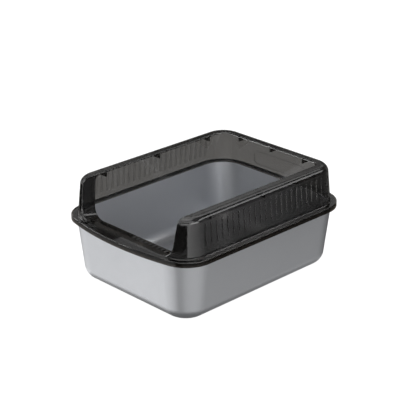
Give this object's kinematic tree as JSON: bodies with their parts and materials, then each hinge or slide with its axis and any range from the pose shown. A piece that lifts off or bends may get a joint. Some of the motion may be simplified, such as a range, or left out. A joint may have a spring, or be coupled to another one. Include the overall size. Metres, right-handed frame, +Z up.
{
  "type": "litter box",
  "caption": "Open-topped litter box: a deep pressed steel pan with a turned-down rim, and a smoke-clear moulded splash guard with a low front entry that lifts straight off.",
  "frame": {"origin": "on the floor, under the middle of the overall length and width", "axes": "+Z up, -Y out through the low entry at the front, +X to the right of someone looking along +Y into the entry"},
  "size_m": [0.405, 0.532, 0.2416],
  "materials": {
    "steel": "satin pressed sheet",
    "smoke_plastic": "smoke tinted, see-through, glossy",
    "rubber": "matt"
  },
  "bodies": {
    "pan": {"litter_pan": "steel", "foot_front_left": "rubber", "foot_front_right": "rubber", "foot_back_left": "rubber", "foot_back_right": "rubber"},
    "guard": {"splash_guard": "smoke_plastic"}
  },
  "joints": [
    {"name": "guard_lift", "type": "slide", "parent": "pan", "child": "guard", "axis": [0, 0, 1], "range_m": [0, 0.15]}
  ]
}
